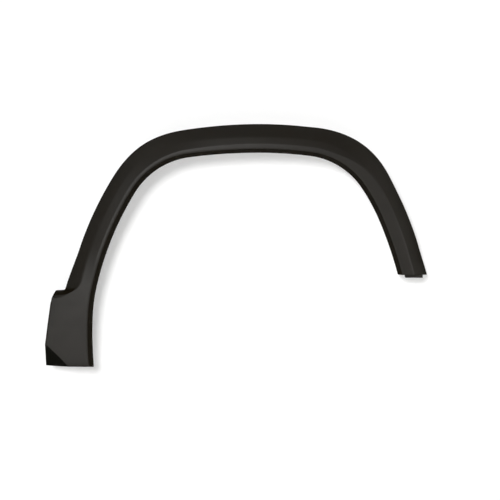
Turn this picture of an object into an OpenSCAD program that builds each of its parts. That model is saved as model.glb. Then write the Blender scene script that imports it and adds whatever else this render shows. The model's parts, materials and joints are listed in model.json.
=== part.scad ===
// Wheel arch trim of a small off-road style car, seen with its outer face
// towards -Y, its top towards +Z and the front of the car towards +X.
// One moulded shell with an open back, held by push-in clips. The origin is
// on the crown locating pin, where the pin leaves the body panel.

/* [Front edge, rear side] */
// Height of the crown locating pin above the front edge of the opening
pin_rise = 36; // [32:0.5:40]
// Radius of the front edge at the crown, rear side
crown_r_rear = 1372; // [1200:10:1600]
// Turn of that arc in degrees
crown_turn_rear = 7.4; // [6.8:0.1:8]
// Radius of the rear shoulder
shoulder_r_rear = 194; // [180:1:208]
// Turn of the rear shoulder in degrees
shoulder_turn_rear = 50.8; // [48:0.1:53]
// Radius of the front edge along the rear leg
leg_r_rear = 798; // [700:10:900]
// Turn of the rear leg in degrees
leg_turn_rear = 18.5; // [17:0.1:20]
// Radius of the front edge just above the foot
knee_r = 444; // [400:4:500]
// Turn of the knee in degrees
knee_turn = 10.4; // [9:0.1:11.5]
// Radius of the front edge along the foot
foot_r = 905; // [800:10:1200]

/* [Front edge, front side] */
// Radius of the front edge at the crown, front side
crown_r_front = 1091; // [1000:10:1300]
// Turn of that arc in degrees
crown_turn_front = 6.8; // [6.2:0.1:7.4]
// Radius of the front shoulder
shoulder_r_front = 191; // [178:1:204]
// Turn of the front shoulder in degrees
shoulder_turn_front = 48.9; // [46:0.1:51]
// Radius of the front edge along the front leg
leg_r_front = 501; // [460:5:560]
// Turn of the front leg in degrees
leg_turn_front = 10.7; // [9.5:0.1:12]
// Radius of the last stretch of the front leg
tail_r = 1000; // [850:10:1300]
// Drop of the front leg's end below the pin
tail_drop = 347.8; // [336:0.1:356]

/* [Band] */
// Width of the band at the crown
band_w = 66; // [62:0.5:70]
// How much narrower the rear leg is
leg_slim = 4.9; // [3:0.1:6.5]
// Extra width of the band on the front shoulder
shoulder_extra = 7; // [3:0.1:8]
// How far the front edge stands out from the body panel
stand_out = 26; // [23:0.5:29]
// Width of the flat land along the front edge on the rear leg
land_rear = 8; // [6.5:0.5:10]
// Width of the land at the crown
land_crown = 13; // [11:0.5:15]
// Width of the land on the front leg
land_front = 28; // [24:0.5:30]
// Distance of the long soft crease from the front edge
crease_d = 32; // [31:0.25:34]
// Fall of the strip between land and crease in degrees
strip_fall = 16; // [12:0.5:19]
// Radius of the front edge's corner
corner_r = 4; // [3.5:0.1:5]

/* [Return flange and wall] */
// Wall thickness of the moulding
wall = 2.8; // [2.2:0.1:3.2]
// How far the return flange passes the body panel
flange_past = 22; // [18:0.5:25]
// Lean of the return flange towards the wheel
flange_lean = 3.5; // [2:0.1:5]
// Bow radius of the body panel along the car, front half
bow_front = 2600; // [2200:50:4000]
// Bow radius of the body panel along the car, rear half
bow_rear = 8000; // [6000:100:12000]
// Bow radius of the body panel from top to bottom
bow_height = 14000; // [10000:200:20000]

/* [Foot] */
// Drop of the foot's upper ledge below the pin
ledge_drop = 385; // [378:1:394]
// Height of the sloped ledge on top of the foot
ledge_h = 19.5; // [16:0.5:23]
// Drop of the foot's lower end below the pin
foot_drop = 577; // [567:1:587]
// Width of the foot just above its flat cut
foot_w_low = 110.5; // [104:0.5:116]
// Width of the foot just under its ledge
foot_w_top = 100.5; // [96:0.5:105]
// Height of the flat cut at the foot's lower corner
facet_h = 54; // [44:1:62]
// Width of that cut along the lower end
facet_w = 62; // [50:1:68]
// How much lower the return flange ends than the foot's face
flange_tail = 6; // [2:0.5:8]
// What the cut leaves of the foot's depth at its corner
facet_rest = 7; // [5:0.5:10]

/* [Clips] */
// Clips along the rear side, the foot's clip included
clips_rear = 5; // [3:1:6]
// Clips along the front side
clips_front = 3; // [2:1:4]
// Distance from the pin to the first clip on either side
clip_start = 100; // [85:1:120]
// Distance from the front leg's end to its last clip
clip_end = 62; // [52:1:80]
// Distance of the clips from the front edge
clip_d = 35; // [33:0.5:37]
// Width and length of a clip tower
tower_w = 20; // [19:0.5:22]
// Slot width in a clip tower
slot_w = 7.6; // [7.2:0.1:8.2]
// Radius of a clip's head
clip_head_r = 7.2; // [6.4:0.1:7.2]
// Play between a clip and its tower
clip_play = 0.3; // [0.2:0.05:0.45]
// Length of a clip behind the body panel
clip_len = 14; // [12:0.5:18]

/* [Pins, screw holes and tab] */
// Radius of the locating pins
pin_r = 4; // [3.5:0.1:4.5]
// Straight length of the locating pins behind the body panel
pin_len = 12; // [9:0.5:15]
// Spacing of the two screw holes in the flange at the crown
crown_hole_pitch = 90; // [70:2:100]
// Radius of those holes
crown_hole_r = 3.25; // [2.75:0.05:3.6]
// Spacing of the two screw holes in the foot's lower wall
foot_hole_pitch = 50; // [40:1:56]
// Radius of those holes
foot_hole_r = 2.6; // [2.2:0.05:3]
// Width of the tab on the front leg's end
tab_w = 44; // [38:1:48]
// How far that tab reaches past the end
tab_out = 7.4; // [5:0.1:10]
// Thickness of webs inside the shell
web = 1.8; // [1.4:0.1:2.2]

/* [Hidden] */

// Arcs of the front edge from the crown down each side, as radius and turn
arcs_rear = [
    [crown_r_rear, crown_turn_rear],
    [shoulder_r_rear, shoulder_turn_rear],
    [leg_r_rear, leg_turn_rear],
    [knee_r, knee_turn],
    [foot_r, 20]
];
arcs_front = [
    [crown_r_front, crown_turn_front],
    [shoulder_r_front, shoulder_turn_front],
    [leg_r_front, leg_turn_front],
    [tail_r, 20]
];

// A place on one side is its distance from the crown, its height and its heading
function step_arc(p, r, turn) = [
    p[0] + r * (sin(p[2] + turn) - sin(p[2])),
    p[1] - r * (cos(p[2]) - cos(p[2] + turn)),
    p[2] + turn
];
function arc_starts(arcs, p, i) =
    i == len(arcs) ? [p] : concat([p], arc_starts(arcs, step_arc(p, arcs[i][0], arcs[i][1]), i + 1));
function arc_len(arc) = arc[0] * arc[1] * PI / 180;
starts_rear = arc_starts(arcs_rear, [0, -pin_rise, 0], 0);
starts_front = arc_starts(arcs_front, [0, -pin_rise, 0], 0);

function side_at(arcs, starts, s, i = 0) =
    i == len(arcs) - 1 || s <= arc_len(arcs[i])
        ? step_arc(starts[i], arcs[i][0], s / arcs[i][0] * 180 / PI)
        : side_at(arcs, starts, s - arc_len(arcs[i]), i + 1);
// Length along one side at which the edge has dropped to the height z
function len_at(arcs, starts, z, i = 0, done = 0) =
    i == len(arcs) - 1 || z >= starts[i + 1][1]
        ? let (p = starts[i], r = arcs[i][0])
            done + r * (acos(cos(p[2]) - (p[1] - z) / r) - p[2]) * PI / 180
        : len_at(arcs, starts, z, i + 1, done + arc_len(arcs[i]));
function rear_at(z) = -len_at(arcs_rear, starts_rear, z);

len_front = len_at(arcs_front, starts_front, -tail_drop);
s_foot_end = rear_at(-foot_drop);
s_ledge = rear_at(-ledge_drop);
blend_len = 115;

// 0 to 1 along a smooth ramp
function ramp(u) = let (v = min(max(u, 0), 1)) v * v * (3 - 2 * v);
// 1 in the middle of a soft hump and 0 past one width on either side
function hump(u) = ramp(1 - abs(u));

function mix(a, b, u) = a + (b - a) * u;

// Distance s is negative towards the rear and positive towards the front
function edge_at(s) =
    s < 0
        ? let (p = side_at(arcs_rear, starts_rear, -s)) [-p[0], p[1], -p[2]]
        : side_at(arcs_front, starts_front, s);
// Direction of a cross-section: square to the edge, and level at both ends
function level_share(s) =
    s < 0 ? ramp((s_ledge + blend_len - s) / blend_len) : ramp((s - len_front + blend_len) / blend_len);
function way_at(s) =
    let (turn = edge_at(s)[2]) turn + level_share(s) * ((s < 0 ? -90 : 90) - turn);

// The body panel behind the trim, gently bowed both ways
function body_y(x, z) = x * x / (2 * (x > 0 ? bow_front : bow_rear)) + z * z / (2 * bow_height);

// Widths of the foot by height, which set its outer side from the lower end to the ledge
foot_widths = [
    [-foot_drop, foot_w_low + 6],
    [-foot_drop + facet_h, foot_w_low],
    [-ledge_drop - 78, foot_w_top + 2.3],
    [-ledge_drop - 36, foot_w_top - 0.4],
    [-ledge_drop - ledge_h, foot_w_top + 0.4],
    [-ledge_drop - 9, foot_w_top - 1.2],
    [-ledge_drop - 1.5, foot_w_top - 4]
];
foot_side = [for (row = foot_widths) [row[0], row[1] - edge_at(rear_at(row[0]))[0]]];
function foot_w(z, x) = x + lookup(z, foot_side);

// Width of the band, measured along the cross-section
function band_at(s) =
    band_w
    - leg_slim * ramp(-s / 380)
    + shoulder_extra * hump((s - 235) / 125)
    + 3.2 * hump((s + 262) / 85)
    + 3 * ramp((s - len_front + 60) / 60)
    + 11 * ramp((s_ledge + 90 - s) / 100);
function land_at(s) =
    s < 0 ? land_crown + (land_rear - land_crown) * ramp(-s / 330)
          : land_crown + (land_front - land_crown) * ramp((s - 165) / 130);
foot_fall = 1.2;
function fall_at(s) = mix(foot_fall, strip_fall, ramp((s - s_ledge) / 120));

// The soft crease, which turns outwards above the foot and becomes the fold
// between the foot's face and its sloped ledge
ledge_end = -ledge_drop - ledge_h;
function face_at(d) = [d, face_h - (d - land_rear) * tan(foot_fall)];
fold_d = [
    [ledge_end, crease_d + 43],
    [-ledge_drop - 11.5, crease_d + 29],
    [-ledge_drop - 4.5, crease_d + 17],
    [-ledge_drop - 1, crease_d + 12],
    [-ledge_drop + 4.5, crease_d + 6],
    [-ledge_drop + 16, crease_d]
];

// Cross-sections are lists of [distance from the front edge, height off the body panel]
face_h = stand_out + 0.4;
flange_top = stand_out - corner_r;
function flange_t(h) = -flange_lean * (flange_top - h) / (flange_top + flange_past);
function front_part(land) = [
    [flange_t(-flange_past), -flange_past],
    [flange_t(0), 0],
    [flange_t(1.5), 1.5],
    [0, flange_top],
    [corner_r * 0.29, stand_out - corner_r * 0.29],
    [corner_r, stand_out],
    [land, face_h]
];
rim_h = 3.2;
// Outer part of a plain band: a slightly crowned face from the crease to the rim
function outer_part(crease, w) =
    let (rim = [w - 1.5, rim_h], run = rim - crease) [
        crease,
        crease + run * 0.34 + [0, 0.8],
        crease + run * 0.68 + [0, 0.7],
        rim,
        [w - 0.5, rim_h * 0.55],
        [w, 0]
    ];
function band_section(s) =
    let (
        land = land_at(s),
        d = lookup(edge_at(s)[1], fold_d),
        crease = [d, face_h - (d - land) * tan(fall_at(s))],
        mid = ([land, face_h] + crease) / 2 + [0, 0.025 * fall_at(s)]
    )
    concat(front_part(land), [mid], outer_part(crease, band_at(s)));

function ledge_section(s, z, x) =
    let (
        w = foot_w(z, x),
        k = (-ledge_drop - z) / ledge_h,
        fold = face_at(lookup(z, fold_d)),
        rim = [w - 1.2 - 1.5 * k, max((face_h - 4) * k, 1.6)],
        mid = ([land_rear, face_h] + fold) / 2
    )
    concat(front_part(land_rear), [mid], [
        fold,
        mix(fold + [10, -10], fold + (rim - fold) * 0.34, ramp(k * 1.5)),
        mix(fold + [21, -22], fold + (rim - fold) * 0.68, ramp(k * 1.5)),
        rim,
        [w - 0.4, rim[1] * 0.5],
        [w, 0]
    ]);
foot_corner = 5;
function foot_section(z, x) =
    let (
        w = foot_w(z, x),
        k = max((-foot_drop + facet_h - z) / facet_h, 0),
        fold = face_at(w - foot_corner - (facet_w - foot_corner) * k),
        rim = [w - 0.4, mix(face_h - 6, facet_rest, k)],
        bulge = 2.2 * (1 - ramp(k * 12)),
        mid = ([land_rear, face_h] + fold) / 2
    )
    concat(front_part(land_rear), [mid], [
        fold,
        fold + (rim - fold) * 0.4 + [bulge * 0.55, bulge * 0.45],
        fold + (rim - fold) * 0.75 + [bulge * 0.35, bulge * 0.4],
        rim,
        [w - 0.1, rim[1] * 0.4],
        [w, 0]
    ]);
function section_at(s) =
    let (p = edge_at(s), z = p[1], x = p[0])
    z > -ledge_drop - 1 || s > 0 ? band_section(s)
        : z > ledge_end - 0.5 ? ledge_section(s, z, x)
        : foot_section(z, x);

// Inner side of a section, one wall thickness in
function unit(v) = v / norm(v);
function right_of(v) = [v[1], -v[0]];
function inset(sec, d) =
    let (
        n = len(sec),
        side = [for (i = [0:n - 2]) right_of(unit(sec[i + 1] - sec[i]))],
        face = sec[n - 3][1] > 2 * d ? unit(sec[n - 3] - sec[n - 2]) : unit(sec[n - 4] - sec[n - 3]),
        foot = sec[n - 1] - [d / max(face[1], 0.35), 0]
    ) [
        for (i = [0:n - 1])
            i == 0 ? sec[0] + [d, 0]
            : i > n - 4 ? foot + face * (n - 1 - i) * 0.6
            : sec[i] + (side[i - 1] + side[i]) * d / (1 + side[i - 1] * side[i])
    ];

// A section's point in space
function place(s, q) =
    let (p = edge_at(s), a = way_at(s), x = p[0] + q[0] * sin(a), z = p[1] + q[0] * cos(a))
    [x, body_y(x, z) - q[1], z];
// The foot's lower end slopes down towards the body, and rises a little under the flat cut
facet_lift = 3;
function end_shift(i, j, q) =
    i > 0 ? [0, 0, 0]
    : [0, 0, facet_lift * min(max(j - 8, 0) / 3, 1) - flange_tail * (stand_out - q[1]) / (stand_out + flange_past)];

// Stations along the trim, from the foot's lower end to the front leg's end
ledge_steps = [
    ledge_end - 1, ledge_end, -ledge_drop - 15, -ledge_drop - 11.5,
    -ledge_drop - 8, -ledge_drop - 4.5, -ledge_drop - 1.5, -ledge_drop, -ledge_drop + 4.5
];
foot_steps = concat(
    [for (k = [0:4]) -foot_drop + facet_h * k / 4],
    [for (k = [0:4]) let (a = -foot_drop + facet_h + 5) a + (ledge_end - 1 - a) * k / 5]
);
function arc_stations(arcs, counts, i = 0, done = 0) =
    i == len(counts) ? [] : concat(
        [for (k = [0:counts[i] - 1]) done + arc_len(arcs[i]) * k / counts[i]],
        arc_stations(arcs, counts, i + 1, done + arc_len(arcs[i]))
    );
rear_plain = [for (s = arc_stations(arcs_rear, [7, 13, 10, 4])) if (-s > rear_at(-ledge_drop + 14)) -s];
front_plain = [for (s = arc_stations(arcs_front, [5, 12, 4])) s];
tail_len = len_front - arc_len(arcs_front[0]) - arc_len(arcs_front[1]) - arc_len(arcs_front[2]);
stations = concat(
    [for (z = foot_steps) rear_at(z)],
    [for (z = ledge_steps) rear_at(z)],
    [for (i = [len(rear_plain) - 1:-1:1]) rear_plain[i]],
    front_plain,
    [for (k = [0:6]) len_front - tail_len * (6 - k) / 6]
);

outer_secs = [for (s = stations) section_at(s)];
inner_secs = [for (q = outer_secs) inset(q, wall)];
n_st = len(stations);
n_col = len(outer_secs[0]);
back_col = 1;

// The end walls' inner faces stand one wall thickness inside the ends
function inner_s(i, j) =
    j <= back_col ? stations[i]
    : i == 0 ? stations[0] + wall
    : i == n_st - 1 ? stations[i] - wall
    : stations[i];

module shell() {
    outer_pts = [for (i = [0:n_st - 1]) for (j = [0:n_col - 1])
        place(stations[i], outer_secs[i][j]) + end_shift(i, j, outer_secs[i][j])
    ];
    inner_pts = [for (i = [0:n_st - 1]) for (j = [0:n_col - 1])
        place(inner_s(i, j), inner_secs[i][j]) + end_shift(i, j, inner_secs[i][j])
    ];
    o = n_st * n_col;
    last = n_st - 1;
    end = n_col - 1;
    outer_faces = [
        for (i = [0:last - 1]) for (j = [0:end - 1])
            let (a = i * n_col + j, b = a + 1, c = a + n_col + 1, d = a + n_col)
            each [[a, b, c], [a, c, d]]
    ];
    inner_faces = [
        for (i = [0:last - 1]) for (j = [0:end - 1])
            let (a = o + i * n_col + j, b = a + 1, c = a + n_col + 1, d = a + n_col)
            each [[a, c, b], [a, d, c]]
    ];
    rims = [
        for (i = [0:last - 1])
            let (a = i * n_col, b = a + n_col, c = a + end, d = b + end)
            each [[a, b, o + b], [a, o + b, o + a], [c, o + d, d], [c, o + c, o + d]]
    ];
    function cap(row, flip) =
        let (
            a = row * n_col,
            wall_faces = [for (j = [back_col + 1:end - 1]) [a + back_col, a + j + 1, a + j]],
            room_faces = [
                for (j = [back_col + 2:end - 1])
                    [o + a + back_col + 1, o + a + j, o + a + j + 1]
            ],
            flange_faces = [
                [a, a + back_col, o + a + back_col],
                [a, o + a + back_col, o + a]
            ],
            back_faces = [
                [a + back_col, o + a + end, a + end],
                [a + back_col, o + a + back_col + 1, o + a + end],
                [a + back_col, o + a + back_col, o + a + back_col + 1]
            ],
            all_faces = concat(wall_faces, room_faces, [for (f = flange_faces) [f[0], f[2], f[1]]], back_faces)
        )
        flip ? [for (f = all_faces) [f[0], f[2], f[1]]] : all_faces;
    polyhedron(
        points = concat(outer_pts, inner_pts),
        faces = concat(outer_faces, inner_faces, rims, cap(0, false), cap(last, true))
    );
}

// A slab in the plane of a cross-section, from points [y, distance from the edge]
module slab(s, pts, thick) {
    p = edge_at(s);
    translate([p[0], 0, p[1]])
        rotate([0, way_at(s), 0])
            rotate([90, 0, 90])
                linear_extrude(thick, center = true)
                    polygon(pts);
}
function flat_pts(s, pts) = [for (q = pts) [place(s, q)[1], q[0]]];

// Line inside the wall, where webs and towers are rooted
root_in = wall * 0.55;
function root_line(s) = let (q = inset(section_at(s), root_in)) [for (i = [4:n_col - 3]) q[i]];

// Stiffening web across the shell, deepest at the return flange
web_heel_h = 9;
module web_at(s) {
    heel = [flange_t(web_heel_h) + root_in, web_heel_h];
    slab(s, flat_pts(s, concat([heel, [root_in, flange_top]], root_line(s))), web);
}

// Everything under the root line between two distances from the edge, down to y_back
function under_root(s, from, to, y_back) =
    let (root = root_line(s))
    concat(
        [[y_back, from]],
        flat_pts(s, concat(
            [[from, lookup(from, root)]],
            [for (q = root) if (q[0] > from + 1 && q[0] < to - 1) q],
            [[to, lookup(to, root)]]
        )),
        [[y_back, to]]
    );

// The foot's clip and pin stand at their heights, a share of its width from the edge
foot_clip_z = -foot_drop + 105;
foot_pin_z = ledge_end - 40;
ledge_gap = 30;
function foot_d(z, share) = foot_w(z, edge_at(rear_at(z))[0]) * share;
clip_s_rear = [
    for (k = [0:clips_rear - 1])
        k == clips_rear - 1 ? rear_at(foot_clip_z)
        : -clip_start - (-s_ledge - ledge_gap - clip_start) * k / (clips_rear - 2)
];
clip_s_front = [
    for (k = [0:clips_front - 1])
        clip_start + (len_front - clip_end - clip_start) * k / (clips_front - 1)
];
clip_sites = concat(
    [for (k = [0:clips_rear - 1]) [clip_s_rear[k], k == clips_rear - 1 ? foot_d(foot_clip_z, 0.63) : clip_d]],
    [for (s = clip_s_front) [s, clip_d]]
);
function site_y(site) = place(site[0], [site[1], 0])[1];

// Clip tower: three walls and a slotted plate that carries a clip's head
tower_wall = 2;
plate_h = 2;
// More than the shell is deep, for cuts that pass right through
through = 2 * stand_out;
module tower(site) {
    s = site[0];
    d = site[1];
    y = site_y(site);
    half = tower_w / 2;
    in = half - tower_wall;
    p = edge_at(s);
    difference() {
        slab(s, under_root(s, d - half, d + half, y - plate_h), tower_w);
        translate([p[0], 0, p[1]])
            rotate([0, way_at(s), 0]) {
                translate([-in, y - plate_h - tower_wall - through, d - in])
                    cube([in + tower_w, through, 2 * in]);
                translate([0, y - plate_h - tower_wall - 1, d - slot_w / 2])
                    cube([tower_w, tower_wall + 2, slot_w]);
                translate([0, y - plate_h + 1, d])
                    rotate([90, 0, 0])
                        cylinder(h = tower_wall + 2, r = slot_w / 2, $fn = 48);
            }
    }
}

// Round boss with a locating pin that passes the body panel
boss_r = 7;
pin_tip = 2;
pin_chamfer = 1.5;
module pin_on(s, d) {
    p = edge_at(s);
    y = site_y([s, d]);
    intersection() {
        slab(s, under_root(s, d - boss_r - 1, d + boss_r + 1, y), 2 * boss_r + 2);
        at_site(s, d, y)
            cylinder(h = 2 * through, r = boss_r, center = true, $fn = 64);
    }
    at_site(s, d, y)
        rotate_extrude($fn = 64)
            polygon([
                [0, -1], [pin_r, -1], [pin_r, pin_len],
                [pin_r - pin_chamfer, pin_len + pin_tip], [0, pin_len + pin_tip]
            ]);
}
module at_site(s, d, y) {
    p = edge_at(s);
    translate([p[0] + d * sin(way_at(s)), y, p[1] + d * cos(way_at(s))])
        rotate([-90, 0, 0])
            children();
}

// Tongue behind the front leg's end, which slides under the bumper's edge
tab_t = 2.5;
tab_from = 10.5;
tab_back = 9;
tab_root = 8;
tab_chamfer = 3.5;
module end_tab() {
    p = edge_at(len_front);
    x = p[0] + tab_from;
    y = body_y(x + tab_w / 2, p[1]) - tab_back;
    translate([x, y, -tail_drop])
        rotate([90, 0, 0])
            linear_extrude(tab_t, center = true)
                polygon([
                    [0, tab_root], [0, tab_chamfer - tab_out], [tab_chamfer, -tab_out],
                    [tab_w, -tab_out], [tab_w, tab_root]
                ]);
}

module crown_holes() {
    for (side = [-1, 1])
        translate([side * crown_hole_pitch / 2, flange_past / 2, -pin_rise])
            cylinder(h = 12 * wall, r = crown_hole_r, center = true, $fn = 48);
}
foot_hole_d = 52;
foot_hole_h = 12;
module foot_holes() {
    mid = place(s_foot_end, [foot_hole_d, foot_hole_h]);
    for (side = [-1, 1])
        translate([mid[0] + side * foot_hole_pitch / 2, mid[1], -foot_drop])
            cylinder(h = 8 * wall, r = foot_hole_r, center = true, $fn = 48);
}

// Webs stand halfway between neighbouring clips, and two more stiffen the foot
web_s = concat(
    [for (k = [0:clips_rear - 3]) (clip_s_rear[k] + clip_s_rear[k + 1]) / 2],
    [-clip_start / 2, clip_start / 2],
    [for (k = [0:clips_front - 2]) (clip_s_front[k] + clip_s_front[k + 1]) / 2],
    [len_front - clip_end / 3],
    [rear_at(ledge_end - 0.7 * ledge_h), rear_at(-foot_drop + 1.3 * facet_h)]
);

module arch_trim() {
    color([0.15, 0.145, 0.13])
        difference() {
            union() {
                shell();
                for (site = clip_sites)
                    tower(site);
                for (s = web_s)
                    web_at(s);
                pin_on(0, pin_rise);
                pin_on(rear_at(foot_pin_z), foot_d(foot_pin_z, 0.58));
                end_tab();
            }
            crown_holes();
            foot_holes();
        }
}

// Push-in clip: head in the tower, neck, sealing collar and barbed stem
head_t = 1.6;
collar_r = 8.6;
collar_t = 1;
stem_r = 2.4;
barbs = 4;
barb_out = 2;
tip_r = 1.2;
tip_len = 2;
module clip() {
    neck_r = slot_w / 2 - clip_play;
    top = -plate_h - tower_wall - clip_play;
    low = -plate_h + clip_play;
    pitch = (clip_len - tip_len) / barbs;
    rotate_extrude($fn = 48)
        polygon(concat(
            [[0, top - head_t], [clip_head_r, top - head_t], [clip_head_r, top],
             [neck_r, top], [neck_r, low],
             [collar_r, low], [collar_r, low + collar_t], [neck_r, low + collar_t], [stem_r, 0]],
            [for (k = [0:barbs - 1]) let (out = barb_out * (1 - 0.15 * k))
                each [[stem_r + out, pitch * (k + 0.4)], [stem_r, pitch * (k + 1)]]],
            [[tip_r, clip_len], [0, clip_len]]
        ));
}
module retaining_clips() {
    color([0.78, 0.77, 0.72])
        for (site = clip_sites)
            at_site(site[0], site[1], site_y(site))
                clip();
}

arch_trim();
retaining_clips();
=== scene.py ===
import bpy
import json
import numpy as np
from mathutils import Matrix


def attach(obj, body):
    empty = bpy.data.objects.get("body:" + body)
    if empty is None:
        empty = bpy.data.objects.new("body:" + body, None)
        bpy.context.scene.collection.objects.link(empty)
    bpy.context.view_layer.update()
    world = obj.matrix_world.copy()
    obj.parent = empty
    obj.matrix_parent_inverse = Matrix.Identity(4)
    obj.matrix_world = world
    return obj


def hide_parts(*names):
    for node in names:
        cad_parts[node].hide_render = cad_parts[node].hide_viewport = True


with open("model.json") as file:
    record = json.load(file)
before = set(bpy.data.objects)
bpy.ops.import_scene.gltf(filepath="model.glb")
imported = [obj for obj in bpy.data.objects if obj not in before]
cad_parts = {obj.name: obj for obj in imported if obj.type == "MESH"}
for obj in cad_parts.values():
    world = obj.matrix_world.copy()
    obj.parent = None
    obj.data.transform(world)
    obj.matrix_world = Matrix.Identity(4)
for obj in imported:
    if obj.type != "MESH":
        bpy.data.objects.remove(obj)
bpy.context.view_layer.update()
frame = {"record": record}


# Outer shell of the trim: one injection moulding of black polypropylene, open at the back and
# clipped to the body. A flat land, a soft crease and a crowned face run round the wheel opening,
# with a return flange towards the wheel and a wide foot. All sizes here are millimetres.

def soft(u):
    """Smooth ramp from 0 to 1: 3u^2 - 2u^3 for u between 0 and 1."""
    u = np.clip(u, 0, 1)
    return u * u * (3 - 2 * u)


def swell(u):
    """Soft swelling, 1 at u = 0 and gone at u = 1 on either side."""
    return soft(1 - np.abs(u))


def blend(a, b, u):
    """Value a share u of the way from a to b: a + (b - a)u."""
    return a + (b - a) * u


# Arcs of the front edge from the crown down each side, as radius and turn in degrees
rear_arcs = ((1372, 7.4), (194, 50.8), (798, 18.5), (444, 10.4), (905, 20))
front_arcs = ((1091, 6.8), (191, 48.9), (501, 10.7), (1000, 20))
edge_top = -36
foot_end_z = -577
ledge_z = -385
ledge_height = 19.5
front_end_z = -347.8
longest_side = 900
table_step = 0.05


def down_one_side(arcs, s):
    """Place and heading after s mm along a chain of arcs: on an arc of radius r from heading a
    to heading b, x grows by r(sin b - sin a) and z falls by r(cos a - cos b)."""
    x, z, heading = np.zeros_like(s), np.full_like(s, edge_top), np.zeros_like(s)
    left = s
    for k, (radius, turn) in enumerate(arcs):
        longest = np.inf if k == len(arcs) - 1 else radius * np.radians(turn)
        part = np.clip(left, 0, longest)
        after = heading + part / radius
        x = x + radius * (np.sin(after) - np.sin(heading))
        z = z - radius * (np.cos(heading) - np.cos(after))
        heading, left = after, left - part
    return x, z, heading


def opening_edge(s):
    """Front edge of the wheel opening at s, which is negative towards the rear: the rear chain of
    arcs mirrored in x, and the front chain as it is."""
    rear_x, rear_z, rear_turn = down_one_side(rear_arcs, np.maximum(-s, 0.0))
    x, z, turn = down_one_side(front_arcs, np.maximum(s, 0.0))
    return np.where(s < 0, -rear_x, x), np.where(s < 0, rear_z, z), np.where(s < 0, -rear_turn, turn)


def length_down(arcs, z):
    """Length along one side at which the edge has dropped to z, read off a fine table."""
    run = np.linspace(0, longest_side, round(longest_side / table_step) + 1)
    return np.interp(-np.asarray(z, float), -down_one_side(arcs, run)[1], run)


s_ledge = -length_down(rear_arcs, ledge_z)
s_foot_end = -length_down(rear_arcs, foot_end_z)
s_front_end = length_down(front_arcs, front_end_z)
levelling = 115


def section_heading(s):
    """Direction of a cross-section: square to the edge, and turned level towards both ends by a
    soft ramp over the levelling length."""
    turn = opening_edge(s)[2]
    level = np.where(s < 0, soft((s_ledge + levelling - s) / levelling),
                     soft((s - s_front_end + levelling) / levelling))
    return blend(turn, np.where(s < 0, -np.pi / 2, np.pi / 2), level)


bow_front_r, bow_rear_r, bow_height_r = 2600, 8000, 14000


def panel_y(x, z):
    """Bowed body panel behind the trim: x^2 / 2R along the car and z^2 / 2R in height."""
    return x * x / np.where(x > 0, 2 * bow_front_r, 2 * bow_rear_r) + z * z / (2 * bow_height_r)


def in_space(s, d, h, dz=0):
    """Metres in space of the point d from the edge and h off the body panel, in section s: the
    edge's point plus d along the section's heading, and y the panel's less h."""
    x, z, _ = opening_edge(s)
    way = section_heading(s)
    x = x + d * np.sin(way)
    z = z + d * np.cos(way)
    return np.stack([x, panel_y(x, z) - h, z + dz], axis=-1) / 1000


# A corner's rounding takes at most this share of the shorter side next to it
trim_share = 0.46


def rounded(keys, trims, runs, folds):
    """Rounded profile through key points. Each corner P becomes P - u t(1-w)^2 + v t w^2, where
    u and v are the directions into and out of it, t its trim and w goes from 0 to 1. Side k has
    runs[k] steps, and corner k has folds[k] points."""
    step = keys[:, 1:] - keys[:, :-1]
    length = np.linalg.norm(step[..., :2], axis=-1, keepdims=True)
    way = step / np.maximum(length, 1e-6)
    none = np.zeros_like(length[:, :1])
    room = np.concatenate([none, np.minimum(length[:, 1:], length[:, :-1]), none], axis=1)
    trim = np.minimum(trims[..., None], trim_share * room)
    rows = []
    for k, count in enumerate(runs):
        start = keys[:, k] + way[:, k] * trim[:, k]
        end = keys[:, k + 1] - way[:, k] * trim[:, k + 1]
        u = np.linspace(0, 1, count + 1)[None, :, None]
        if k > 0 and folds[k] == 0:
            u = u[:, 1:]
        rows.append(blend(start[:, None], end[:, None], u))
        if k + 1 < len(runs) and folds[k + 1] > 0:
            w = np.linspace(0, 1, folds[k + 1] + 2)[None, 1:-1, None]
            t = trim[:, k + 1][:, None]
            rows.append(keys[:, k + 1][:, None] - way[:, k][:, None] * t * (1 - w) ** 2
                        + way[:, k + 1][:, None] * t * w ** 2)
    return np.concatenate(rows, axis=1)


def softened(z, table):
    """Distance at height z along a polyline whose corners are rounded, from rows of height,
    distance and the corner's trim, read off between the rounded line's points."""
    heights, distances, trims = np.array(table, float).T
    keys = np.stack([heights, distances], axis=-1)[None]
    path = rounded(keys, trims[None], [6] * (len(table) - 1), [0] + [10] * (len(table) - 2) + [0])[0]
    return np.interp(-z, -path[:, 0], path[:, 1])


# Sizes of a section. Distances run outwards from the opening's edge, heights run off the body
# panel, and a fall is the slope of a face in degrees. The strip from the land to the crease
# bulges by a few thousandths of a millimetre for each degree that it falls.
wall = 2.8
stand_out = 26
face_h = 26.4
corner_in, corner_h = 0.3, 25.85
flange_past = 22
flange_lean = 3.5
crease_d = 32
strip_fall = 16
foot_fall = 1.2
fall_run = 120
strip_bulge = 0.006
foot_land = 8
side_land = 13
rear_land_loss, rear_land_run = 5, 330
front_land_gain, front_land_start, front_land_run = 15, 165, 130

# Swellings along the trim, each with its amount, its place and how far it reaches either way:
# the fuller shoulders of the band, and the crease that fades at the rear shoulder
front_shoulder = (7, 235, 125)
rear_shoulder = (3.2, -262, 85)
crease_fade = (6.5, -235, 150)
band_w = 66
rear_taper, rear_taper_run = 4.9, 380
front_flare, front_flare_run = 3, 60
foot_flare, foot_flare_start, foot_flare_run = 11, 90, 100


def swelling(s, form):
    """One swelling of (amount, place, reach): the amount times swell((s - place) / reach)."""
    amount, place, reach = form
    return amount * swell((s - place) / reach)


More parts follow.
